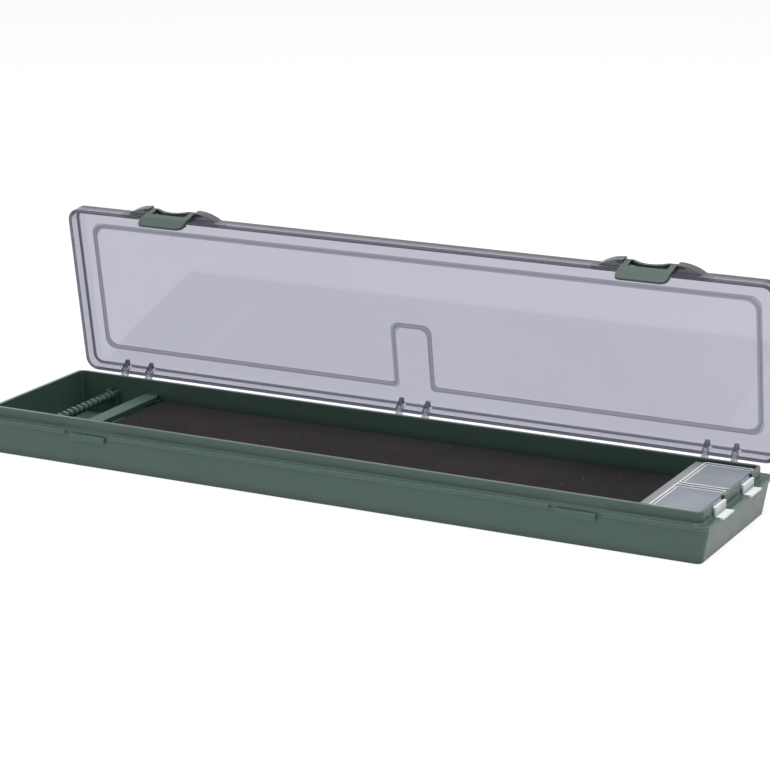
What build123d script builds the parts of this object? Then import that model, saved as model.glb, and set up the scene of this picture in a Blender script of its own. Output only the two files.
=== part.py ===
from build123d import *
import os

# Rig box: a long tray with a hinged clear lid, two swinging latches, a foam bed,
# a comb rod, a cross bar and a small compartment insert with two flip lids.
# Millimetres. X runs along the box, -Y is the latch side, +Y the hinge side, Z up.
# The origin is the centre of the tray's underside.

os.makedirs("parts", exist_ok=True)

# Outline shared by the ledge and the lid
LID_LENGTH = 350.0
LID_WIDTH = 82.0
LID_CORNER = 6.0
LEDGE_CORNER = 3.5

# Tray
BASE_CORNER = 2.8
END_TAPER = 2.5
SIDE_TAPER = 0.4
WALL_PAST_RIM = 1.75
FLOOR = 1.5
FOOT_ROUND = 0.8
LEDGE_TOP = 16.2
LEDGE_THICK = 1.6
LEDGE_AT_ENDS = 3.25
LEDGE_AT_FRONT = 2.9
LEDGE_AT_BACK = 6.6
RIM_TOP = 21.5
RIM_WALL = 1.5
RIM_CORNER = 3.2
RIM_FLARE = 0.9

# Lid
LID_DEPTH = 7.0
LID_WALL = 1.6
LID_SEAT_GAP = 0.15
LID_TOP_ROUND = 1.2
FIELD_RISE = 0.8
FIELD_MARGIN_X = 10.0
FIELD_MARGIN_FRONT = 10.0
FIELD_MARGIN_BACK = 11.0
FIELD_CORNER = 5.0
FIELD_SLOPE = 1.5
INNER_ROUND = 0.9
NOTCH_WIDTH = 19.0
NOTCH_REACH = 40.7
NOTCH_CORNER = 4.0

# Lid hinge
HINGE_BEHIND_LID = 3.75
HINGE_Z = 15.3
HINGE_FROM_END = 27.0
LEG_SPACING = 13.4
LEG_THICK = 2.0
EYE_RADIUS = 2.2
PIN_RADIUS = 1.2
PIN_REACH = 6.5
SOCKET_WALL = 1.3
RUNNING_GAP = 0.08
SIDE_GAP = 0.4
LID_OPEN_DEG = 80.9
GUSSET_REACH = 3.2

# Latches
LATCH_FROM_END = 56.5
LATCH_WIDTH = 23.5
LATCH_THICK = 1.5
LATCH_END_THICK = 1.0
LATCH_END_Z = 6.0
LATCH_END_CORNER = 2.8
LATCH_TO_WALL = 0.35
LATCH_PIVOT_OUT = 1.75
LATCH_PIVOT_Z = 21.2
LATCH_BARREL_RADIUS = 1.1
LATCH_PIN_RADIUS = 0.8
LATCH_PIN_REACH = 3.0
WINDOW_WIDTH = 18.0
WINDOW_LOW_Z = 15.4
BOW_DIP = 3.4
BOW_THICK = 1.4
HOOK_DEPTH = 1.1
HOOK_HEIGHT = 1.1
HOOK_GAP = 0.25
FAIRING_LENGTH = 12.5
FAIRING_OUT = 3.2
FAIRING_LOW_Z = 18.6

# Catches on the tray's front wall
CATCH_WIDTH = 17.5
CATCH_LOW_Z = 12.3
CATCH_HIGH_Z = 15.0
CATCH_OUT = 1.3
CATCH_TO_LATCH = 0.3
LIP_GAP_WIDTH = 23.9

# Comb rod and its brackets
COMB_FROM_END = 18.25
COMB_Z = 12.0
COMB_CORE_RADIUS = 1.5
COMB_DISC_RADIUS = 2.3
COMB_DISC_THICK = 2.0
COMB_PLAIN_END = 3.55
COMB_DISCS = 17
COMB_DISC_SIDES = 14
COMB_CORE_SIDES = 10
BRACKET_REACH = 2.4
BRACKET_THICK = 1.3
BRACKET_TOP = 14.2
FIT_GAP = 0.15

# Cross bar
BAR_FROM_END = 36.25
BAR_WIDTH = 7.5
BAR_TOP = 14.7
BAR_THICK = 2.4
BAR_CORNER = 3.0
LUG_REACH = 4.0
LUG_THICK = 3.0

# Compartment insert and flip lids
INSERT_LENGTH = 27.1
INSERT_SIDE_GAP = 1.25
INSERT_TOP = 20.0
INSERT_WALL = 1.2
INSERT_CORNER = 2.0
STRIP_WIDTH = 3.5
FLIP_THICK = 1.0
FLIP_BORDER = 1.6
FLIP_BORDER_RISE = 0.6
FLIP_GAP = 0.25
TAB_WIDTH = 12.5
TAB_THICK = 0.8
TAB_PAST_LEDGE = 1.2
TAB_SIDE_GAP = 0.5

# Foam bed
FOAM_TOP = 12.3
SOFT_GAP = 0.3
FOAM_CORNER = 1.0

# Sizes that follow from those above
RIM_LENGTH = LID_LENGTH - 2 * LEDGE_AT_ENDS
RIM_WIDTH = LID_WIDTH - LEDGE_AT_FRONT - LEDGE_AT_BACK
OUTLINE_Y = (LEDGE_AT_BACK - LEDGE_AT_FRONT) / 2
WALL_TOP_WIDTH = RIM_WIDTH + 2 * WALL_PAST_RIM
BASE_LENGTH = LID_LENGTH - 2 * END_TAPER
BASE_WIDTH = WALL_TOP_WIDTH - 2 * SIDE_TAPER
LEDGE_BOTTOM = LEDGE_TOP - LEDGE_THICK
OUTLINE_FRONT = OUTLINE_Y - LID_WIDTH / 2
OUTLINE_BACK = OUTLINE_Y + LID_WIDTH / 2
LID_LOW = LEDGE_TOP + LID_SEAT_GAP
LID_TOP = LID_LOW + LID_DEPTH
PANEL_UNDER = LID_TOP - LID_WALL
RIM_INNER_X = RIM_LENGTH / 2 - RIM_WALL
RIM_INNER_Y = RIM_WIDTH / 2 - RIM_WALL
WALL_TOP_Y = WALL_TOP_WIDTH / 2
HINGE_Y = OUTLINE_BACK + HINGE_BEHIND_LID
HINGE_PITCH = LID_LENGTH / 2 - HINGE_FROM_END
HINGE_CENTRES = (-HINGE_PITCH, 0.0, HINGE_PITCH)
SOCKET_RADIUS = PIN_RADIUS + RUNNING_GAP + SOCKET_WALL
LATCH_PITCH = LID_LENGTH / 2 - LATCH_FROM_END
LATCH_CENTRES = (-LATCH_PITCH, LATCH_PITCH)
LATCH_PIVOT_Y = OUTLINE_FRONT - LATCH_PIVOT_OUT
CATCH_FACE_Y = -WALL_TOP_Y - CATCH_OUT
LATCH_INNER_Y = CATCH_FACE_Y - CATCH_TO_LATCH
COMB_X = COMB_FROM_END - RIM_INNER_X
COMB_PITCH = 2 * (RIM_INNER_Y - COMB_PLAIN_END) / (COMB_DISCS - 1)
BAR_LEFT = BAR_FROM_END - RIM_INNER_X
INSERT_RIGHT = RIM_INNER_X - FIT_GAP
INSERT_LEFT = INSERT_RIGHT - INSERT_LENGTH
INSERT_WIDTH = 2 * (RIM_INNER_Y - INSERT_SIDE_GAP)
TAB_CENTRE_Y = INSERT_WIDTH / 4
FLIP_HINGE_X = INSERT_LEFT + STRIP_WIDTH
FLIP_UNDER = INSERT_TOP - FLIP_THICK
TAB_LEG_X = RIM_LENGTH / 2 + FIT_GAP
TAB_FOOT_TOP = LEDGE_TOP - FIT_GAP / 2
TAB_FOOT_LOW = TAB_FOOT_TOP - TAB_THICK
THROUGH = LID_LENGTH
NEAR = 0.01

LID_HINGE = Axis((0, HINGE_Y, HINGE_Z), (1, 0, 0))


def finish(part, name):
    """Labels a finished piece and writes it."""
    part.label = name
    export_step(part, f"parts/{name}.step")


def edges_at(part, height):
    """The edges whose middles lie at a height."""
    return part.edges().filter_by_position(Axis.Z, height - NEAR, height + NEAR)


def swung_open(part):
    """The lid's pieces are drawn closed, then swung up to the photographed pose."""
    return part.rotate(LID_HINGE, -LID_OPEN_DEG)


# Tray: drafted body, ledge, upstanding rim, hinge sockets, catches and brackets
with BuildPart() as tray:
    with BuildSketch(Plane.XY):
        RectangleRounded(BASE_LENGTH, BASE_WIDTH, BASE_CORNER)
    with BuildSketch(Plane.XY.offset(LEDGE_BOTTOM)):
        RectangleRounded(LID_LENGTH, WALL_TOP_WIDTH, BASE_CORNER)
    loft(ruled=True)
    fillet(edges_at(tray, 0), FOOT_ROUND)
    with BuildSketch(Plane.XY.offset(LEDGE_BOTTOM)):
        with Locations((0, OUTLINE_Y)):
            RectangleRounded(LID_LENGTH, LID_WIDTH, LEDGE_CORNER)
    extrude(amount=LEDGE_THICK)
    with BuildSketch(Plane.XY.offset(LEDGE_BOTTOM)):
        RectangleRounded(RIM_LENGTH, RIM_WIDTH, RIM_CORNER)
    extrude(amount=RIM_TOP - LEDGE_BOTTOM)
    flare_edges = (
        edges_at(tray, LEDGE_TOP)
        .filter_by_position(Axis.X, -RIM_LENGTH / 2 - NEAR, RIM_LENGTH / 2 + NEAR)
        .filter_by_position(Axis.Y, -RIM_WIDTH / 2 - NEAR, RIM_WIDTH / 2 + NEAR)
    )
    fillet(flare_edges, RIM_FLARE)
    with BuildSketch(Plane.XY.offset(FLOOR)):
        RectangleRounded(2 * RIM_INNER_X, 2 * RIM_INNER_Y, RIM_CORNER - RIM_WALL)
    extrude(amount=RIM_TOP, mode=Mode.SUBTRACT)

    # Gaps in the front lip, where the latches drop past the ledge
    for centre in LATCH_CENTRES:
        with BuildSketch(Plane.XY.offset(LEDGE_BOTTOM)):
            with Locations((centre, -WALL_TOP_Y)):
                Rectangle(LIP_GAP_WIDTH, WALL_TOP_Y, align=(Align.CENTER, Align.MAX))
        extrude(amount=LEDGE_THICK, mode=Mode.SUBTRACT)
        with BuildSketch(Plane.XY.offset(CATCH_LOW_Z)):
            with Locations((centre, -WALL_TOP_Y + FLOOR)):
                Rectangle(CATCH_WIDTH, CATCH_OUT + FLOOR, align=(Align.CENTER, Align.MAX))
        extrude(amount=CATCH_HIGH_Z - CATCH_LOW_Z)

    # Hinge sockets behind the ledge, outside each leg of the lid
    for centre in HINGE_CENTRES:
        for side in (-1, 1):
            socket_start = centre + side * (LEG_SPACING / 2 + LEG_THICK / 2 + SIDE_GAP)
            with BuildSketch(Plane.YZ.offset(socket_start)):
                with Locations((HINGE_Y, HINGE_Z)):
                    Circle(SOCKET_RADIUS)
                with Locations((OUTLINE_BACK - SOCKET_WALL, LEDGE_BOTTOM)):
                    Rectangle(HINGE_BEHIND_LID + SOCKET_WALL, LEDGE_THICK - FIT_GAP, align=Align.MIN)
            extrude(amount=side * PIN_REACH)
            with BuildSketch(Plane.YZ.offset(socket_start)):
                with Locations((HINGE_Y, HINGE_Z)):
                    Circle(PIN_RADIUS + RUNNING_GAP)
            extrude(amount=side * PIN_REACH, mode=Mode.SUBTRACT)

    # U brackets that hold the comb rod's ends, and lugs under the cross bar
    for side in (-1, 1):
        wall_y = side * RIM_INNER_Y
        bracket_y = wall_y - side * BRACKET_REACH / 2
        bracket_width = 2 * (COMB_CORE_RADIUS + FIT_GAP + BRACKET_THICK)
        seat_z = COMB_Z - COMB_CORE_RADIUS - FIT_GAP
        with BuildSketch(Plane.XY.offset(FLOOR)):
            with Locations((COMB_X, bracket_y)):
                Rectangle(bracket_width, BRACKET_REACH)
        extrude(amount=BRACKET_TOP - FLOOR)
        with BuildSketch(Plane.XY.offset(seat_z)):
            with Locations((COMB_X, bracket_y)):
                Rectangle(2 * (COMB_CORE_RADIUS + FIT_GAP), BRACKET_REACH)
        extrude(amount=RIM_TOP, mode=Mode.SUBTRACT)
        with BuildSketch(Plane.XY.offset(BAR_TOP - BAR_THICK - LUG_THICK)):
            with Locations((BAR_LEFT + BAR_WIDTH / 2, wall_y - side * LUG_REACH / 2)):
                Rectangle(BAR_WIDTH, LUG_REACH)
        extrude(amount=LUG_THICK)

    # Notches in the right end for the flip lids' finger tabs
    for tab_y in (-TAB_CENTRE_Y, TAB_CENTRE_Y):
        with BuildSketch(Plane.XY.offset(FLIP_UNDER - FIT_GAP)):
            with Locations((RIM_INNER_X, tab_y)):
                Rectangle(2 * RIM_WALL, TAB_WIDTH + 2 * TAB_SIDE_GAP)
        extrude(amount=RIM_TOP, mode=Mode.SUBTRACT)
        with BuildSketch(Plane.XY.offset(TAB_FOOT_LOW - FIT_GAP)):
            with Locations((RIM_LENGTH / 2, tab_y)):
                Rectangle(THROUGH, TAB_WIDTH + 2 * TAB_SIDE_GAP, align=(Align.MIN, Align.CENTER))
        extrude(amount=RIM_TOP, mode=Mode.SUBTRACT)

finish(tray.part, "tray")


# Lid: shallow clear cover with a raised field, hinge legs and latch fairings
def field_outline(inset):
    """The raised field's outline: a rounded rectangle with a notch from the hinge side."""
    left = -LID_LENGTH / 2 + FIELD_MARGIN_X + inset
    front = OUTLINE_FRONT + FIELD_MARGIN_FRONT + inset
    back = OUTLINE_BACK - FIELD_MARGIN_BACK - inset
    with BuildSketch(mode=Mode.PRIVATE) as outline:
        with Locations((0, (front + back) / 2)):
            RectangleRounded(-2 * left, back - front, FIELD_CORNER)
        notch_front = OUTLINE_BACK - NOTCH_REACH - inset
        with Locations((0, notch_front)):
            notch_width = NOTCH_WIDTH + 2 * inset
            Rectangle(notch_width, THROUGH, align=(Align.CENTER, Align.MIN), mode=Mode.SUBTRACT)
        inner_corners = outline.vertices().filter_by_position(Axis.Y, notch_front - NEAR, notch_front + NEAR)
        fillet(inner_corners, NOTCH_CORNER)
        mouth = outline.vertices().filter_by_position(Axis.Y, back - NEAR, back + NEAR)
        mouth = mouth.filter_by_position(Axis.X, -NOTCH_WIDTH, NOTCH_WIDTH)
        fillet(mouth, NOTCH_CORNER / 2)
    return outline.sketch


with BuildPart() as lid:
    with BuildSketch(Plane.XY.offset(LID_LOW)):
        with Locations((0, OUTLINE_Y)):
            RectangleRounded(LID_LENGTH, LID_WIDTH, LID_CORNER)
    extrude(amount=LID_DEPTH)
    fillet(edges_at(lid, LID_TOP), LID_TOP_ROUND)
    with BuildSketch(Plane.XY.offset(LID_TOP)):
        add(field_outline(-FIELD_SLOPE))
    with BuildSketch(Plane.XY.offset(LID_TOP + FIELD_RISE)):
        add(field_outline(0))
    loft(ruled=True)
    with BuildSketch(Plane.XY.offset(LID_LOW)):
        with Locations((0, OUTLINE_Y)):
            inner_width = LID_WIDTH - 2 * LID_WALL
            RectangleRounded(LID_LENGTH - 2 * LID_WALL, inner_width, LID_CORNER - LID_WALL)
    extrude(amount=LID_DEPTH - LID_WALL, mode=Mode.SUBTRACT)
    chamfer(edges_at(lid, PANEL_UNDER), INNER_ROUND)
    with BuildSketch(Plane.XY.offset(PANEL_UNDER)):
        add(field_outline(-FIELD_SLOPE / 2))
    with BuildSketch(Plane.XY.offset(PANEL_UNDER + FIELD_RISE)):
        add(field_outline(FIELD_SLOPE / 2))
    loft(ruled=True, mode=Mode.SUBTRACT)

    # Hinge legs: an outer arm with an eye and a pin, and a gusset inside the skirt
    for centre in HINGE_CENTRES:
        for side in (-1, 1):
            leg_x = centre + side * LEG_SPACING / 2
            with BuildSketch(Plane.YZ.offset(leg_x)):
                with BuildLine():
                    Polyline(
                        (OUTLINE_BACK - LID_WALL / 2, PANEL_UNDER),
                        (HINGE_Y + EYE_RADIUS / 2, HINGE_Z + EYE_RADIUS),
                        (HINGE_Y, HINGE_Z),
                        (HINGE_Y - EYE_RADIUS, HINGE_Z),
                        (OUTLINE_BACK - LID_WALL / 2, LID_LOW + LID_WALL / 2),
                        close=True,
                    )
                make_face()
                with Locations((HINGE_Y, HINGE_Z)):
                    Circle(EYE_RADIUS)
                with BuildLine():
                    Polyline(
                        (OUTLINE_BACK - LID_WALL, LID_LOW),
                        (OUTLINE_BACK - LID_WALL, PANEL_UNDER),
                        (OUTLINE_BACK - LID_WALL - GUSSET_REACH, PANEL_UNDER),
                        close=True,
                    )
                make_face()
            extrude(amount=LEG_THICK / 2, both=True)
            with BuildSketch(Plane.YZ.offset(leg_x)):
                with Locations((HINGE_Y, HINGE_Z)):
                    Circle(PIN_RADIUS)
            extrude(amount=side * (LEG_THICK / 2 + SIDE_GAP + PIN_REACH))

    # Latch fairings: two swept humps per latch that hold its pivot pins
    for centre in LATCH_CENTRES:
        for side in (-1, 1):
            inner_x = centre + side * (LATCH_WIDTH / 2 + SIDE_GAP)
            outer_x = inner_x + side * FAIRING_LENGTH
            crest = (inner_x, OUTLINE_FRONT - FAIRING_OUT)
            with BuildSketch(Plane.XY.offset(FAIRING_LOW_Z)):
                with BuildLine():
                    Line((inner_x, OUTLINE_FRONT + LID_WALL / 2), crest)
                    TangentArc(crest, (outer_x, OUTLINE_FRONT + LID_WALL / 2), tangent=(side, 0))
                    Line((outer_x, OUTLINE_FRONT + LID_WALL / 2), (inner_x, OUTLINE_FRONT + LID_WALL / 2))
                make_face()
            extrude(amount=LID_TOP - FAIRING_LOW_Z)
            with BuildSketch(Plane.YZ.offset(inner_x)):
                with Locations((LATCH_PIVOT_Y, LATCH_PIVOT_Z)):
                    Circle(LATCH_PIN_RADIUS + RUNNING_GAP)
            extrude(amount=side * (LATCH_PIN_REACH + SIDE_GAP), mode=Mode.SUBTRACT)
        # The skirt is cut away behind the latch's window and bow
        with BuildSketch(Plane.XZ.offset(-OUTLINE_FRONT - LID_WALL)):
            with Locations((centre, LID_LOW)):
                Rectangle(WINDOW_WIDTH, LID_DEPTH, align=(Align.CENTER, Align.MIN))
        extrude(amount=2 * LID_WALL, mode=Mode.SUBTRACT)

finish(swung_open(lid.part), "lid")


# Latches: a curved plate with a window, a bow across it, a hook and two pivot pins
def make_latch(centre):
    """One latch, drawn with the lid closed and the hook under its catch."""
    bend_z = CATCH_LOW_Z - HOOK_GAP
    end_inner_y = -WALL_TOP_Y - LATCH_TO_WALL
    with BuildPart() as latch:
        with BuildSketch(Plane.YZ.offset(centre)):
            with BuildLine():
                Polyline(
                    (LATCH_PIVOT_Y - LATCH_BARREL_RADIUS, LATCH_PIVOT_Z),
                    (LATCH_INNER_Y - LATCH_THICK, bend_z),
                    (end_inner_y - LATCH_END_THICK, LATCH_END_Z),
                    (end_inner_y, LATCH_END_Z),
                    (LATCH_INNER_Y + HOOK_DEPTH, bend_z - HOOK_HEIGHT),
                    (LATCH_INNER_Y + HOOK_DEPTH, bend_z),
                    (LATCH_INNER_Y, bend_z),
                    (LATCH_INNER_Y, WINDOW_LOW_Z),
                    (LATCH_PIVOT_Y + LATCH_BARREL_RADIUS, LATCH_PIVOT_Z),
                    close=True,
                )
            make_face()
            with Locations((LATCH_PIVOT_Y, LATCH_PIVOT_Z)):
                Circle(LATCH_BARREL_RADIUS)
        extrude(amount=LATCH_WIDTH / 2, both=True)
        fillet(edges_at(latch, LATCH_END_Z).filter_by(Axis.Y), LATCH_END_CORNER)
        # Open above the bow that joins the two posts, and below it down to the plate
        half = WINDOW_WIDTH / 2
        post_top = LATCH_PIVOT_Z + LATCH_BARREL_RADIUS
        bow_low = post_top - BOW_THICK
        with BuildSketch(Plane.XZ.offset(-LATCH_PIVOT_Y)):
            with BuildLine():
                ThreePointArc(
                    (centre - half, post_top), (centre, post_top - BOW_DIP), (centre + half, post_top)
                )
                Polyline(
                    (centre + half, post_top),
                    (centre + half, post_top + BOW_THICK),
                    (centre - half, post_top + BOW_THICK),
                    (centre - half, post_top),
                )
            make_face()
            with BuildLine():
                ThreePointArc(
                    (centre - half, bow_low), (centre, bow_low - BOW_DIP), (centre + half, bow_low)
                )
                Polyline(
                    (centre + half, bow_low),
                    (centre + half, WINDOW_LOW_Z),
                    (centre - half, WINDOW_LOW_Z),
                    (centre - half, bow_low),
                )
            make_face()
        extrude(amount=2 * LATCH_THICK, both=True, mode=Mode.SUBTRACT)
        for side in (-1, 1):
            with BuildSketch(Plane.YZ.offset(centre + side * LATCH_WIDTH / 2)):
                with Locations((LATCH_PIVOT_Y, LATCH_PIVOT_Z)):
                    Circle(LATCH_PIN_RADIUS)
            extrude(amount=side * (SIDE_GAP + LATCH_PIN_REACH))
    return latch.part


for latch_name, latch_x in zip(("latch_left", "latch_right"), LATCH_CENTRES):
    finish(swung_open(make_latch(latch_x)), latch_name)


# Comb rod: a thin core with evenly spaced discs, which grip the rigs' loops
with BuildPart() as comb_rod:
    comb_end = -RIM_INNER_Y + FIT_GAP
    with BuildSketch(Plane.XZ.offset(-comb_end)):
        with Locations((COMB_X, COMB_Z)):
            RegularPolygon(COMB_CORE_RADIUS, COMB_CORE_SIDES)
    extrude(amount=2 * comb_end)
    for index in range(COMB_DISCS):
        disc_y = (index - (COMB_DISCS - 1) / 2) * COMB_PITCH
        with BuildSketch(Plane.XZ.offset(-disc_y)):
            with Locations((COMB_X, COMB_Z)):
                RegularPolygon(COMB_DISC_RADIUS, COMB_DISC_SIDES)
        extrude(amount=COMB_DISC_THICK / 2, both=True)

finish(comb_rod.part, "comb_rod")


# Cross bar: a flat strap that keeps the comb bay apart from the foam
with BuildPart() as crossbar:
    with BuildSketch(Plane.XY.offset(BAR_TOP - BAR_THICK)) as bar_outline:
        with Locations((BAR_LEFT + BAR_WIDTH / 2, 0)):
            Rectangle(BAR_WIDTH, 2 * (RIM_INNER_Y - FIT_GAP))
        fillet(bar_outline.vertices().sort_by(Axis.Y)[-2:].sort_by(Axis.X)[-1], BAR_CORNER)
    extrude(amount=BAR_THICK)

finish(crossbar.part, "crossbar")


# Foam bed between the cross bar and the insert
with BuildPart() as foam_bed:
    foam_left = BAR_LEFT + BAR_WIDTH + SOFT_GAP
    foam_right = INSERT_LEFT - SOFT_GAP
    with BuildSketch(Plane.XY.offset(FLOOR + SOFT_GAP)):
        with Locations(((foam_left + foam_right) / 2, 0)):
            RectangleRounded(foam_right - foam_left, 2 * (RIM_INNER_Y - SOFT_GAP), FOAM_CORNER)
    extrude(amount=FOAM_TOP - FLOOR - SOFT_GAP)

finish(foam_bed.part, "foam_bed")


# Compartment insert: two wells side by side and a strip that carries the flip lids
with BuildPart() as insert:
    insert_x = (INSERT_LEFT + INSERT_RIGHT) / 2
    with BuildSketch(Plane.XY.offset(FLOOR)):
        with Locations((insert_x, 0)):
            RectangleRounded(INSERT_LENGTH, INSERT_WIDTH, INSERT_CORNER)
    extrude(amount=FLIP_UNDER - FIT_GAP - FLOOR)
    well_width = (INSERT_WIDTH - 3 * INSERT_WALL) / 2
    well_y = (well_width + INSERT_WALL) / 2
    with BuildSketch(Plane.XY.offset(FLOOR + INSERT_WALL)):
        with Locations((insert_x, -well_y), (insert_x, well_y)):
            RectangleRounded(INSERT_LENGTH - 2 * INSERT_WALL, well_width, INSERT_CORNER - INSERT_WALL)
    extrude(amount=INSERT_TOP, mode=Mode.SUBTRACT)
    with BuildSketch(Plane.XY.offset(FLIP_UNDER - FIT_GAP)):
        with Locations((INSERT_LEFT, 0)):
            Rectangle(STRIP_WIDTH, INSERT_WIDTH, align=(Align.MIN, Align.CENTER))
    extrude(amount=FLIP_THICK + FIT_GAP)

finish(insert.part, "compartment_insert")


# Flip lids: a thin plate with a raised border and a stepped finger tab over the end
def make_flip_lid(side):
    """One flip lid: side is -1 for the front well and 1 for the rear well."""
    plate_left = FLIP_HINGE_X + FIT_GAP
    plate_length = INSERT_RIGHT - plate_left
    plate_width = INSERT_WIDTH / 2 - FLIP_GAP
    plate_y = side * (FLIP_GAP + plate_width / 2)
    plate_x = plate_left + plate_length / 2
    leg_right = TAB_LEG_X + TAB_THICK
    tab_y = side * TAB_CENTRE_Y
    with BuildPart() as flip_lid:
        with BuildSketch(Plane.XY.offset(FLIP_UNDER)) as plate:
            with Locations((plate_x, plate_y)):
                Rectangle(plate_length, plate_width)
            outer_side = plate.vertices().sort_by(Axis.Y)[::side][-2:]
            fillet(outer_side.sort_by(Axis.X)[-1], INSERT_CORNER)
        extrude(amount=FLIP_THICK)
        with BuildSketch(Plane.XY.offset(INSERT_TOP)):
            with Locations((plate_x, plate_y)):
                border_length = plate_length - 2 * FLIP_BORDER_RISE
                RectangleRounded(border_length, plate_width - 2 * FLIP_BORDER_RISE, FLIP_BORDER)
                inner_length = plate_length - 2 * FLIP_BORDER
                Rectangle(inner_length, plate_width - 2 * FLIP_BORDER, mode=Mode.SUBTRACT)
        extrude(amount=FLIP_BORDER_RISE)
        # Bridge over the rim's notch, leg down its outer face, and foot over the ledge
        with BuildSketch(Plane.XZ.offset(-tab_y)):
            with BuildLine():
                Polyline(
                    (INSERT_RIGHT - FLIP_BORDER, INSERT_TOP),
                    (INSERT_RIGHT - FLIP_BORDER, FLIP_UNDER),
                    (TAB_LEG_X, FLIP_UNDER),
                    (TAB_LEG_X, TAB_FOOT_LOW),
                    (LID_LENGTH / 2 + TAB_PAST_LEDGE, TAB_FOOT_LOW),
                    (LID_LENGTH / 2 + TAB_PAST_LEDGE, TAB_FOOT_TOP),
                    (leg_right, TAB_FOOT_TOP),
                    (leg_right, INSERT_TOP),
                    close=True,
                )
            make_face()
        extrude(amount=TAB_WIDTH / 2, both=True)
    return flip_lid.part


finish(make_flip_lid(-1), "flip_lid_front")
finish(make_flip_lid(1), "flip_lid_rear")
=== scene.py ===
import math

import bpy
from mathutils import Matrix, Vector, noise


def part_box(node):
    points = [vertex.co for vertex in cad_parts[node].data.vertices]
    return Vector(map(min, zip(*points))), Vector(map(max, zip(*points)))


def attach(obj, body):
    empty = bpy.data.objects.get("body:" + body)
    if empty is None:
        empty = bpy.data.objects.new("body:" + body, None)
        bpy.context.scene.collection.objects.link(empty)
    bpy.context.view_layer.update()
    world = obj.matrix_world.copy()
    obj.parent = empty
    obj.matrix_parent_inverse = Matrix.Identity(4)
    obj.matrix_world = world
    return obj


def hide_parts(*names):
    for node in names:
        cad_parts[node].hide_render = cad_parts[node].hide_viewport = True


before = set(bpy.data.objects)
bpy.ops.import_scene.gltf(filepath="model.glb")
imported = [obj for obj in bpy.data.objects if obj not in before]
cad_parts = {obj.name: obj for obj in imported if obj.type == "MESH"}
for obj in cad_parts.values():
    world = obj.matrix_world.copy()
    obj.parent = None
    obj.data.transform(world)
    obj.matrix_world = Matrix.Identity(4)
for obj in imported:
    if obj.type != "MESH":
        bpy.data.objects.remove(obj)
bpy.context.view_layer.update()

# The open rig box: green tray, smoked lid, foam bed and frosted compartments, in metres.

MM = 0.001

# Camera, fitted to the box's straight edges in the photograph
CAMERA_AZIMUTH = math.radians(27.25)
CAMERA_ELEVATION = math.radians(15.3)
CAMERA_TARGET = Vector((11.22, 0.0, 45.43)) * MM
CAMERA_DISTANCE = 1133.5 * MM
CAMERA_LENS = 121.92
SENSOR_WIDTH = 36.0
CAMERA_NEAR = 0.01

# Colours, linear
TRAY_GREEN = (0.051, 0.095, 0.079)
LATCH_GREEN = (0.034, 0.055, 0.048)
SMOKE = (0.735, 0.735, 0.805)
SMOKE_HAZE = (0.50, 0.50, 0.53)
SMOKE_SHARE = 0.05
SMOKE_PER_METRE = 220.0
# Painted shade on the lid's field slopes, corners and thin edges, drawn as darker see-through lines
SLOPE_SHADE = (0.55, 0.55, 0.59)
CORNER_SHADE = (0.26, 0.26, 0.30)
SLOPE_SHARE = 0.85
EDGE_SHARE = 0.75
SMOKE_PASSES = (0.0, 0.0, 0.16)
# Painted shade on the lid's latch fairings
FAIRING_SHADE = (0.085, 0.085, 0.098)
FAIRING_SHARE = 0.50
FROST = (0.38, 0.39, 0.40)
FROST_HAZE = (0.37, 0.37, 0.38)
FROST_SHARE = 0.40
FROST_LID = (0.46, 0.53, 0.61)
FROST_LID_HAZE = (0.72, 0.74, 0.73)
FLIP_PANEL_SHARE = 0.05
FLIP_CLOUDS = 0.20
FLIP_BORDER_SHARE = 0.72
FLIP_TAB_SHARE = 0.92
FOAM_DARK = (0.0105, 0.0092, 0.0095)
FOAM_LIGHT = (0.036, 0.0315, 0.0325)
FOAM_SPECK = (0.30, 0.26, 0.23)
WHITE = (1.0, 1.0, 1.0)

# Light: strengths, and each lamp's place, aim, width, height and watts, in metres
WORLD_LIGHT = 0.21
WORLD_SEEN = 1.0
FLOOR_GLOW = 0.90
FLOOR_DIFFUSE = 0.16
FLOOR_BOUNCE = 0.25
FLOOR_PALE = 0.8
FLOOR_SIZE = 12.0
LAMPS = {
    "key": ((0.15, 0.0, 1.5), (0.05, 0.0, 0.0), 0.7, 0.6, 27.0),
    "side": ((0.75, -0.1, 0.075), (0.175, -0.02, 0.02), 0.8, 0.14, 0.4),
    "fill": ((-0.6, -1.4, 0.7), (0.0, 0.0, 0.02), 1.0, 0.8, 3.0),
}
LOOKING_RAYS = ("Is Camera Ray", "Is Glossy Ray", "Is Transmission Ray")
SOFT_RAYS = ("Is Shadow Ray", "Is Diffuse Ray")

# Sizes of marks, in features per metre
PLASTIC_CLOUDS = 22.0
PLASTIC_GRAIN = 2600.0
PLASTIC_SCUFFS = 240.0
CLEAR_SCUFFS = 180.0
CLEAR_RIPPLES = 14.0
FLIP_CLOUD_SCALE = 60.0
FOAM_PATCHES = 45.0
FOAM_GRAIN = 1500.0
FOAM_CELLS = 900.0
FOAM_DUST = 260.0
FOAM_DUST_PATCHES = 120.0
FOAM_SWELL_SCALE = 28.0
FOAM_PIT_SCALE = 620.0

# Moulded plastics: tone, grain, a painted highlight on the edges, and sheen
CLOUD_DARK = 0.93
CLOUD_LIGHT = 1.08
GRAIN_SHARE = 0.12
GRAIN_LIFT = 1.5
GRAIN_STRENGTH = 0.22
GRAIN_HEIGHT = 0.05 * MM
BEVEL_SAMPLES = 4
# The painted highlight on edges: its radius, gain, share and lift
EDGE_HIGHLIGHT_RADIUS = 0.45 * MM
EDGE_HIGHLIGHT_GAIN = 9.0
EDGE_HIGHLIGHT_SHARE = 0.70
EDGE_HIGHLIGHT_LIFT = 3.2
SHEEN_SPREAD = 0.16
PLASTIC_SPECULAR = 0.45
TRAY_ROUGHNESS = 0.36
LATCH_ROUGHNESS = 0.38

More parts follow.
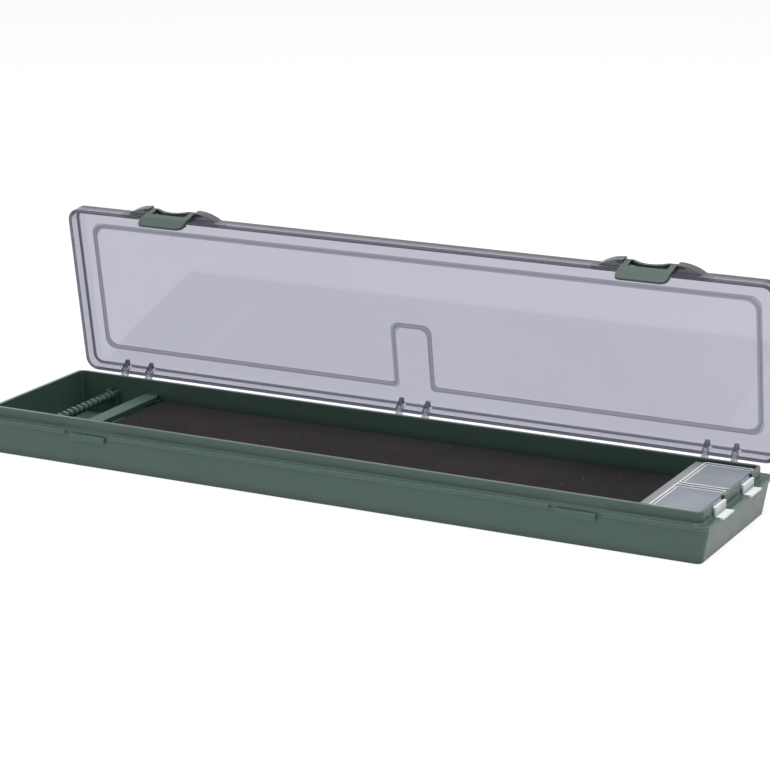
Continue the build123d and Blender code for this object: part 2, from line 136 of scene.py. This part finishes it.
# Clear plastics: surface, tint and haze
CLEAR_IOR = 1.49
TINT_DARK = 0.97
TINT_LIGHT = 1.03
SCUFF_SPREAD = 0.06
RIPPLE_STRENGTH = 0.01
RIPPLE_HEIGHT = 0.3 * MM
HAZE_ROUGHNESS = 0.4
SMOKE_ROUGHNESS = 0.02
INSERT_ROUGHNESS = 0.30
INSERT_CLEAR = 0.75
FLIP_ROUGHNESS = 0.16
FLIP_CLEAR = 0.9

# Painted shade in the nooks of the moulded pieces, and a painted highlight along the tray's crest, whose
# depth is in millimetres
NOOK_SAMPLES = 6
NOOK_REACH = 4.0 * MM
NOOK_SHADE = 0.35
CREST_HIGHLIGHT_DEPTH = 0.35
CREST_HIGHLIGHT_GREY = (0.115, 0.145, 0.130)

# Parts of the clear pieces, in millimetres, and how the lid's faces are told apart:
# by the cosine of their turn from the panel, which stands open at rest
LID_OPEN = math.radians(80.9)
SLOPE_FACING = (0.45, 0.985)
CORNER_FACING = 0.80
EDGE_LINE = 0.55
EDGE_GAIN = 60.0
HINGE_FROM_END = 27.0
LEG_FROM_HINGE = 6.7
LEG_HALF_WIDTH = 2.0
LEG_HEIGHT = 9.0
FAIRING_HEIGHT = 7.5
FAIRING_REACH = 27.5
FLIP_BORDER = 2.3
FLIP_TAB = 4.6

# Foam
FOAM_CELL = 1.0 * MM
FOAM_ROUND = 0.9 * MM
FOAM_SWELL = 0.35 * MM
FOAM_PIT = 0.10 * MM
FOAM_TONE_START = 0.30
FOAM_CELL_STRENGTH = 0.7
FOAM_CELL_HEIGHT = 0.25 * MM
FOAM_ROUGHNESS = 0.93
FOAM_SPECULAR = 0.06
SPECK_RADIUS = 0.055
SPECK_FROM = 0.56


def scaled(colour, factor):
    """A colour made lighter or darker, with full alpha."""
    return tuple(min(c * factor, 1.0) for c in colour) + (1.0,)


def new_material(name):
    """An empty node material: its tree and its output."""
    material = bpy.data.materials.new(name)
    material.use_nodes = True
    tree = material.node_tree
    tree.nodes.clear()
    return material, tree, tree.nodes.new("ShaderNodeOutputMaterial")


def add_node(tree, kind, settings=None, **inputs):
    """A node with its settings, and its inputs set to values or linked to sockets."""
    node = tree.nodes.new(kind)
    for key, value in (settings or {}).items():
        setattr(node, key, value)
    for key, value in inputs.items():
        socket = node.inputs[key.replace("_", " ")]
        if isinstance(value, bpy.types.NodeSocket):
            tree.links.new(value, socket)
        else:
            socket.default_value = value
    return node


def math_node(tree, operation, first, second=0.0, clamp=False):
    """A Math node's result."""
    node = tree.nodes.new("ShaderNodeMath")
    node.operation = operation
    node.use_clamp = clamp
    for socket, value in zip(node.inputs, (first, second)):
        if isinstance(value, bpy.types.NodeSocket):
            tree.links.new(value, socket)
        else:
            socket.default_value = value
    return node.outputs[0]


def mix_colour(tree, factor, first, second):
    """A blend of two colours."""
    node = tree.nodes.new("ShaderNodeMix")
    node.data_type = "RGBA"
    for socket, value in ((node.inputs[0], factor), (node.inputs[6], first), (node.inputs[7], second)):
        if isinstance(value, bpy.types.NodeSocket):
            tree.links.new(value, socket)
        else:
            socket.default_value = value
    return node.outputs[2]


def noise_at(tree, coordinates, scale, detail=3.0):
    """Noise on object coordinates: scale is in features per metre."""
    return add_node(
        tree, "ShaderNodeTexNoise", Vector=coordinates, Scale=scale, Detail=detail
    ).outputs["Fac"]


def multiply_add(tree, value, factor, offset):
    """A value times a factor, plus an offset."""
    result = math_node(tree, "MULTIPLY_ADD", value, factor)
    result.node.inputs[2].default_value = offset
    return result


def dot_product(tree, direction, other):
    """The dot product of a direction with another, which may be a constant."""
    node = tree.nodes.new("ShaderNodeVectorMath")
    node.operation = "DOT_PRODUCT"
    tree.links.new(direction, node.inputs[0])
    if isinstance(other, bpy.types.NodeSocket):
        tree.links.new(other, node.inputs[1])
    else:
        node.inputs[1].default_value = other
    return node.outputs["Value"]


def bent_edges(tree, radius, gain):
    """The rounded normal near edges, and a mask that grows to 1 on sharp ones."""
    bevel = add_node(tree, "ShaderNodeBevel", {"samples": BEVEL_SAMPLES}, Radius=radius)
    flat = add_node(tree, "ShaderNodeNewGeometry").outputs["Normal"]
    likeness = dot_product(tree, bevel.outputs[0], flat)
    bend = math_node(tree, "SUBTRACT", 1.0, likeness, clamp=True)
    return bevel.outputs[0], math_node(tree, "MULTIPLY", bend, gain, clamp=True)


def any_ray(tree, kinds):
    """1 on rays of any of the named kinds."""
    path = add_node(tree, "ShaderNodeLightPath")
    found = path.outputs[kinds[0]]
    for kind in kinds[1:]:
        found = math_node(tree, "MAXIMUM", found, path.outputs[kind])
    return found


def mix_shaders(tree, share, first, second):
    """Two shaders mixed: a share of 0 shows the first, and 1 the second."""
    node = add_node(tree, "ShaderNodeMixShader", Fac=share)
    tree.links.new(first, node.inputs[1])
    tree.links.new(second, node.inputs[2])
    return node.outputs[0]


def add_shaders(tree, first, second):
    """Two shaders added up."""
    node = add_node(tree, "ShaderNodeAddShader")
    tree.links.new(first, node.inputs[0])
    tree.links.new(second, node.inputs[1])
    return node.outputs[0]


def across_box(tree, node):
    """Where a point lies in a node's box, in millimetres from its low corner."""
    low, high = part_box(node)
    place = add_node(tree, "ShaderNodeTexCoord").outputs["Generated"]
    parts = add_node(tree, "ShaderNodeSeparateXYZ", Vector=place)
    sizes = [(h - l) / MM for l, h in zip(low, high)]
    steps = [math_node(tree, "MULTIPLY", parts.outputs[i], sizes[i]) for i in range(3)]
    return steps, sizes


def moulded_plastic(name, colour, roughness, crest_highlight_of=None):
    """Satin moulded plastic: fine grain, faint flow marks, a painted highlight on edges and crest, and
    painted shade in nooks.
    """
    material, tree, output = new_material(name)
    coordinates = add_node(tree, "ShaderNodeTexCoord").outputs["Object"]
    clouds = noise_at(tree, coordinates, PLASTIC_CLOUDS)
    grain = noise_at(tree, coordinates, PLASTIC_GRAIN, 2.0)
    scuffs = noise_at(tree, coordinates, PLASTIC_SCUFFS, 6.0)
    normal, edges = bent_edges(tree, EDGE_HIGHLIGHT_RADIUS, EDGE_HIGHLIGHT_GAIN)
    body = mix_colour(tree, clouds, scaled(colour, CLOUD_DARK), scaled(colour, CLOUD_LIGHT))
    grain_share = math_node(tree, "MULTIPLY", grain, GRAIN_SHARE)
    speckled = mix_colour(tree, grain_share, body, scaled(colour, GRAIN_LIFT))
    # Lighter edges: a painted highlight on sharp edges, where light would catch them.
    edge_highlight_share = math_node(tree, "MULTIPLY", edges, EDGE_HIGHLIGHT_SHARE)
    highlighted = mix_colour(tree, edge_highlight_share, speckled, scaled(colour, EDGE_HIGHLIGHT_LIFT))
    # A painted highlight along the tray's top crest.
    if crest_highlight_of:
        steps, sizes = across_box(tree, crest_highlight_of)
        crest_highlight = math_node(tree, "GREATER_THAN", steps[2], sizes[2] - CREST_HIGHLIGHT_DEPTH)
        highlighted = mix_colour(tree, crest_highlight, highlighted, scaled(CREST_HIGHLIGHT_GREY, 1.0))
    # Painted shade: darker in nooks, creases and under ledges, from ambient occlusion.
    nook_shade = add_node(
        tree, "ShaderNodeAmbientOcclusion", {"samples": NOOK_SAMPLES}, Distance=NOOK_REACH
    )
    shaded = mix_colour(tree, nook_shade.outputs["AO"], scaled(colour, NOOK_SHADE), highlighted)
    sheen = multiply_add(tree, scuffs, SHEEN_SPREAD, roughness - SHEEN_SPREAD / 2)
    bump = add_node(
        tree,
        "ShaderNodeBump",
        Strength=GRAIN_STRENGTH,
        Distance=GRAIN_HEIGHT,
        Height=grain,
        Normal=normal,
    )
    surface = add_node(
        tree,
        "ShaderNodeBsdfPrincipled",
        Base_Color=shaded,
        Roughness=sheen,
        Specular_IOR_Level=PLASTIC_SPECULAR,
        Normal=bump.outputs[0],
    )
    tree.links.new(surface.outputs[0], output.inputs["Surface"])
    return material


def latch_middle(side):
    """A latch's middle along the lid, in millimetres from the lid's low end."""
    low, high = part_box(side)
    return ((low.x + high.x) / 2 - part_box("lid")[0].x) / MM


def lid_haze_and_fairing_shade(tree):
    """The lid's faint haze, and a dense dark layer of painted shade on the latch fairings at its free
    edge.
    """
    steps, sizes = across_box(tree, "lid")
    height = math_node(tree, "SUBTRACT", steps[2], sizes[2] - FAIRING_HEIGHT, clamp=True)
    from_left, from_right = (
        math_node(tree, "ABSOLUTE", math_node(tree, "SUBTRACT", steps[0], latch_middle(side)))
        for side in ("latch_left", "latch_right")
    )
    nearest = math_node(tree, "MINIMUM", from_left, from_right)
    close = math_node(tree, "SUBTRACT", FAIRING_REACH, nearest, clamp=True)
    fairing = math_node(tree, "MULTIPLY", height, close)
    colour = mix_colour(tree, fairing, scaled(SMOKE_HAZE, 1.0), scaled(FAIRING_SHADE, 1.0))
    more = math_node(tree, "MULTIPLY", fairing, FAIRING_SHARE - SMOKE_SHARE)
    return colour, math_node(tree, "ADD", more, SMOKE_SHARE)


def beside_legs(tree):
    """0 on the hinge legs, which look clear, and 1 on the rest of the lid."""
    steps, sizes = across_box(tree, "lid")
    half = sizes[0] / 2
    from_middle = math_node(tree, "ABSOLUTE", math_node(tree, "SUBTRACT", steps[0], half))
    from_end_hinge = math_node(tree, "SUBTRACT", from_middle, half - HINGE_FROM_END)
    from_hinge = math_node(
        tree, "MINIMUM", from_middle, math_node(tree, "ABSOLUTE", from_end_hinge)
    )
    from_leg = math_node(tree, "SUBTRACT", from_hinge, LEG_FROM_HINGE)
    beside = math_node(
        tree, "GREATER_THAN", math_node(tree, "ABSOLUTE", from_leg), LEG_HALF_WIDTH
    )
    return math_node(tree, "MAXIMUM", beside, math_node(tree, "GREATER_THAN", steps[2], LEG_HEIGHT))


def lid_shade_lines(tree):
    """Painted shade on the lid: the colour and share of darker see-through lines on its field slopes,
    corners and thin edges.
    """
    normal = add_node(tree, "ShaderNodeTexCoord").outputs["Normal"]
    panel_faces = (0.0, math.sin(LID_OPEN), math.cos(LID_OPEN))
    facing = math_node(tree, "ABSOLUTE", dot_product(tree, normal, panel_faces))
    above = math_node(tree, "GREATER_THAN", facing, SLOPE_FACING[0])
    below = math_node(tree, "LESS_THAN", facing, SLOPE_FACING[1])
    slope = math_node(tree, "MULTIPLY", math_node(tree, "MULTIPLY", above, below), SLOPE_SHARE)
    corner = math_node(tree, "LESS_THAN", facing, CORNER_FACING)
    edges = bent_edges(tree, EDGE_LINE * MM, EDGE_GAIN)[1]
    edge = math_node(tree, "MULTIPLY", edges, EDGE_SHARE)
    dark = math_node(tree, "MAXIMUM", corner, edge)
    # Painted shade colour for the slopes, darker on corners and edges.
    tint = mix_colour(tree, dark, scaled(SLOPE_SHADE, 1.0), scaled(CORNER_SHADE, 1.0))
    share = math_node(tree, "MAXIMUM", slope, edge)
    return tint, math_node(tree, "MULTIPLY", share, beside_legs(tree))


def insert_haze(tree):
    """The insert is evenly frosted."""
    return scaled(FROST_HAZE, 1.0), FROST_SHARE


def flip_haze(tree):
    """A flip lid is clearer in its panel, and milky at its border and its tab."""
    steps, sizes = across_box(tree, "flip_lid_front")
    sides = math_node(tree, "MINIMUM", steps[1], math_node(tree, "SUBTRACT", sizes[1], steps[1]))
    edge = math_node(tree, "MINIMUM", steps[0], sides)
    border = math_node(tree, "LESS_THAN", edge, FLIP_BORDER)
    tab = math_node(tree, "GREATER_THAN", steps[0], sizes[0] - FLIP_TAB)
    coordinates = add_node(tree, "ShaderNodeTexCoord").outputs["Object"]
    clouds = math_node(tree, "MULTIPLY", noise_at(tree, coordinates, FLIP_CLOUD_SCALE, 2.0), FLIP_CLOUDS)
    panel = math_node(tree, "ADD", clouds, FLIP_PANEL_SHARE)
    rim = math_node(tree, "MULTIPLY", border, FLIP_BORDER_SHARE)
    end = math_node(tree, "MULTIPLY", tab, FLIP_TAB_SHARE)
    share = math_node(tree, "MAXIMUM", math_node(tree, "MAXIMUM", panel, rim), end)
    return scaled(FROST_LID_HAZE, 1.0), share


def see_through(name, colour, roughness, transmission, haze, lines=None):
    """Clear or frosted plastic, with fine scuffs, that lets soft light pass as tinted shadow."""
    material, tree, output = new_material(name)
    coordinates = add_node(tree, "ShaderNodeTexCoord").outputs["Object"]
    scuffs = noise_at(tree, coordinates, CLEAR_SCUFFS, 8.0)
    ripples = noise_at(tree, coordinates, CLEAR_RIPPLES, 2.0)
    bump = add_node(
        tree,
        "ShaderNodeBump",
        Strength=RIPPLE_STRENGTH,
        Distance=RIPPLE_HEIGHT,
        Height=ripples,
    )
    tint = mix_colour(tree, ripples, scaled(colour, TINT_DARK), scaled(colour, TINT_LIGHT))
    clear = add_node(
        tree,
        "ShaderNodeBsdfPrincipled",
        Base_Color=tint,
        Roughness=multiply_add(tree, scuffs, SCUFF_SPREAD, roughness),
        IOR=CLEAR_IOR,
        Transmission_Weight=transmission,
        Normal=bump.outputs[0],
    )
    haze_colour, haze_share = haze(tree)
    cloudy = add_node(
        tree, "ShaderNodeBsdfPrincipled", Base_Color=haze_colour, Roughness=HAZE_ROUGHNESS
    )
    body = mix_shaders(tree, haze_share, clear.outputs[0], cloudy.outputs[0])
    # Optional darker see-through lines of painted shade.
    if lines:
        shade_tint, line_share = lines(tree)
        line = add_node(tree, "ShaderNodeBsdfTransparent", Color=shade_tint)
        body = mix_shaders(tree, line_share, body, line.outputs[0])
    passing = add_node(tree, "ShaderNodeBsdfTransparent", Color=scaled(colour, 1.0))
    surface = mix_shaders(tree, any_ray(tree, SOFT_RAYS), body, passing.outputs[0])
    tree.links.new(surface, output.inputs["Surface"])
    return material


def smoke_through(material):
    """Gives the smoked plastic its depth: thick places and edges look darker."""
    tree = material.node_tree
    depth = add_node(
        tree,
        "ShaderNodeVolumeAbsorption",
        Color=SMOKE_PASSES + (1.0,),
        Density=SMOKE_PER_METRE,
    )
    output = next(n for n in tree.nodes if n.type == "OUTPUT_MATERIAL")
    tree.links.new(depth.outputs[0], output.inputs["Volume"])


def foam_material():
    """Dark closed-cell foam: brown-black, matt, pitted, with a few pale specks."""
    material, tree, output = new_material("eva_foam")
    coordinates = add_node(tree, "ShaderNodeTexCoord").outputs["Object"]
    patches = noise_at(tree, coordinates, FOAM_PATCHES, 4.0)
    grain = noise_at(tree, coordinates, FOAM_GRAIN, 3.0)
    cells = add_node(tree, "ShaderNodeTexVoronoi", Vector=coordinates, Scale=FOAM_CELLS)
    dust = add_node(tree, "ShaderNodeTexVoronoi", Vector=coordinates, Scale=FOAM_DUST)
    tone = math_node(tree, "ADD", math_node(tree, "MULTIPLY", patches, 0.5), grain)
    shade = math_node(tree, "SUBTRACT", tone, FOAM_TONE_START, clamp=True)
    body = mix_colour(tree, shade, scaled(FOAM_DARK, 1.0), scaled(FOAM_LIGHT, 1.0))
    speck = math_node(tree, "LESS_THAN", dust.outputs["Distance"], SPECK_RADIUS)
    dusty = noise_at(tree, coordinates, FOAM_DUST_PATCHES)
    rare = math_node(tree, "GREATER_THAN", dusty, SPECK_FROM)
    dotted = math_node(tree, "MULTIPLY", speck, rare)
    colour = mix_colour(tree, dotted, body, scaled(FOAM_SPECK, 1.0))
    height = math_node(tree, "ADD", cells.outputs["Distance"], grain)
    bump = add_node(
        tree,
        "ShaderNodeBump",
        Strength=FOAM_CELL_STRENGTH,
        Distance=FOAM_CELL_HEIGHT,
        Height=height,
    )
    surface = add_node(
        tree,
        "ShaderNodeBsdfPrincipled",
        Base_Color=colour,
        Roughness=FOAM_ROUGHNESS,
        Specular_IOR_Level=FOAM_SPECULAR,
        Normal=bump.outputs[0],
    )
    tree.links.new(surface.outputs[0], output.inputs["Surface"])
    return material


def floor_material():
    """A pale floor: it glows white where it is seen, and lights the box from below."""
    material, tree, output = new_material("pale_floor")
    glow = add_node(tree, "ShaderNodeEmission", Color=scaled(WHITE, 1.0), Strength=FLOOR_GLOW)
    faint = add_node(tree, "ShaderNodeBsdfDiffuse", Color=scaled(WHITE, FLOOR_DIFFUSE))
    shown = add_shaders(tree, glow.outputs[0], faint.outputs[0])
    plain = add_node(tree, "ShaderNodeBsdfDiffuse", Color=scaled(WHITE, FLOOR_PALE))
    bounce = add_node(tree, "ShaderNodeEmission", Color=scaled(WHITE, 1.0), Strength=FLOOR_BOUNCE)
    unseen = add_shaders(tree, plain.outputs[0], bounce.outputs[0])
    surface = mix_shaders(tree, any_ray(tree, LOOKING_RAYS), unseen, shown)
    tree.links.new(surface, output.inputs["Surface"])
    return material


def dress(node, material):
    """Gives a carried-over CAD node its finished material."""
    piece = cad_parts[node]
    piece.data.materials.clear()
    piece.data.materials.append(material)


def rounded_drop(distance):
    """How far the foam's top falls at a distance from its edge."""
    if distance >= FOAM_ROUND:
        return 0.0
    return FOAM_ROUND - math.sqrt(FOAM_ROUND**2 - (FOAM_ROUND - distance) ** 2)


def foam_top(x, y, low, high):
    """The height of the foam's top: rounded edges, a faint swell and fine pits."""
    edge = min(x - low.x, high.x - x, y - low.y, high.y - y)
    swell = 0.5 + 0.5 * noise.noise(Vector((x, y, 0.0)) * FOAM_SWELL_SCALE)
    pits = 0.5 + 0.5 * noise.noise(Vector((x, y, 0.7)) * FOAM_PIT_SCALE)
    return high.z - rounded_drop(edge) - FOAM_SWELL * swell - FOAM_PIT * pits


def make_foam():
    """The foam bed as a closed mesh in its CAD solid's space."""
    low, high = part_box("foam_bed")
    across = round((high.x - low.x) / FOAM_CELL)
    deep = round((high.y - low.y) / FOAM_CELL)
    xs = [low.x + (high.x - low.x) * i / across for i in range(across + 1)]
    ys = [low.y + (high.y - low.y) * j / deep for j in range(deep + 1)]
    points = [(x, y, foam_top(x, y, low, high)) for y in ys for x in xs]
    row = across + 1
    faces = [
        (j * row + i, j * row + i + 1, (j + 1) * row + i + 1, (j + 1) * row + i)
        for j in range(deep)
        for i in range(across)
    ]
    rim = list(range(row))
    rim += [j * row + across for j in range(1, deep + 1)]
    rim += [deep * row + i for i in range(across - 1, -1, -1)]
    rim += [j * row for j in range(deep - 1, 0, -1)]
    base = len(points)
    points += [(points[k][0], points[k][1], low.z) for k in rim]
    count = len(rim)
    for k in range(count):
        after = (k + 1) % count
        faces.append((rim[k], base + k, base + after, rim[after]))
    faces.append(tuple(base + k for k in range(count - 1, -1, -1)))
    mesh = bpy.data.meshes.new("foam_pad")
    mesh.from_pydata(points, [], faces)
    mesh.validate()
    for face in mesh.polygons[: across * deep]:
        face.use_smooth = True
    piece = bpy.data.objects.new("foam_pad", mesh)
    bpy.context.collection.objects.link(piece)
    piece.data.materials.append(foam_material())
    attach(piece, "tray")
    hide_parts("foam_bed")


def make_floor():
    """A plain floor at the tray's underside."""
    bpy.ops.mesh.primitive_plane_add(size=FLOOR_SIZE, location=(0.0, 0.0, 0.0))
    floor = bpy.context.object
    floor.name = "floor"
    floor.data.materials.append(floor_material())


def make_world():
    """Even soft light, seen as white."""
    world = bpy.data.worlds.new("studio")
    bpy.context.scene.world = world
    world.use_nodes = True
    tree = world.node_tree
    tree.nodes.clear()
    output = tree.nodes.new("ShaderNodeOutputWorld")
    light = add_node(tree, "ShaderNodeBackground", Color=scaled(WHITE, 1.0), Strength=WORLD_LIGHT)
    shown = add_node(tree, "ShaderNodeBackground", Color=scaled(WHITE, 1.0), Strength=WORLD_SEEN)
    sky = mix_shaders(tree, any_ray(tree, LOOKING_RAYS), light.outputs[0], shown.outputs[0])
    tree.links.new(sky, output.inputs["Surface"])


def add_softbox(name, place, aim, width, height, watts):
    """An area lamp aimed at a point."""
    lamp = bpy.data.lights.new(name, "AREA")
    lamp.shape = "RECTANGLE"
    lamp.size = width
    lamp.size_y = height
    lamp.energy = watts
    holder = bpy.data.objects.new(name, lamp)
    holder.location = place
    direction = Vector(aim) - Vector(place)
    holder.rotation_mode = "QUATERNION"
    holder.rotation_quaternion = direction.to_track_quat("-Z", "Y")
    bpy.context.collection.objects.link(holder)


def make_lights():
    """A high key, a low lamp for the right end, and a weak fill from the front left."""
    for name, (place, aim, width, height, watts) in LAMPS.items():
        add_softbox(name, place, aim, width, height, watts)


def make_camera():
    """The photograph's camera."""
    data = bpy.data.cameras.new("camera")
    data.sensor_width = SENSOR_WIDTH
    data.lens = CAMERA_LENS
    camera = bpy.data.objects.new("camera", data)
    level = math.cos(CAMERA_ELEVATION)
    back = Vector(
        (
            math.sin(CAMERA_AZIMUTH) * level,
            -math.cos(CAMERA_AZIMUTH) * level,
            math.sin(CAMERA_ELEVATION),
        )
    )
    camera.location = CAMERA_TARGET + back * CAMERA_DISTANCE
    camera.rotation_mode = "QUATERNION"
    camera.rotation_quaternion = (-back).to_track_quat("-Z", "Y")
    data.clip_start = CAMERA_NEAR
    bpy.context.collection.objects.link(camera)
    bpy.context.scene.camera = camera


tray_plastic = moulded_plastic("tray_plastic", TRAY_GREEN, TRAY_ROUGHNESS, "tray")
fitting_plastic = moulded_plastic("fitting_plastic", TRAY_GREEN, TRAY_ROUGHNESS)
latch_plastic = moulded_plastic("latch_plastic", LATCH_GREEN, LATCH_ROUGHNESS)
smoked_clear = see_through("smoked_clear", SMOKE, SMOKE_ROUGHNESS, 1.0, lid_haze_and_fairing_shade, lid_shade_lines)
smoke_through(smoked_clear)
frosted = see_through("frosted_insert", FROST, INSERT_ROUGHNESS, INSERT_CLEAR, insert_haze)
frosted_lid = see_through("frosted_lid", FROST_LID, FLIP_ROUGHNESS, FLIP_CLEAR, flip_haze)

dress("tray", tray_plastic)
for name in ("crossbar", "comb_rod"):
    dress(name, fitting_plastic)
for name in ("latch_left", "latch_right"):
    dress(name, latch_plastic)
dress("lid", smoked_clear)
dress("compartment_insert", frosted)
for name in ("flip_lid_front", "flip_lid_rear"):
    dress(name, frosted_lid)

make_foam()
make_floor()
make_world()
make_lights()
make_camera()
bpy.context.scene.view_settings.view_transform = "Standard"
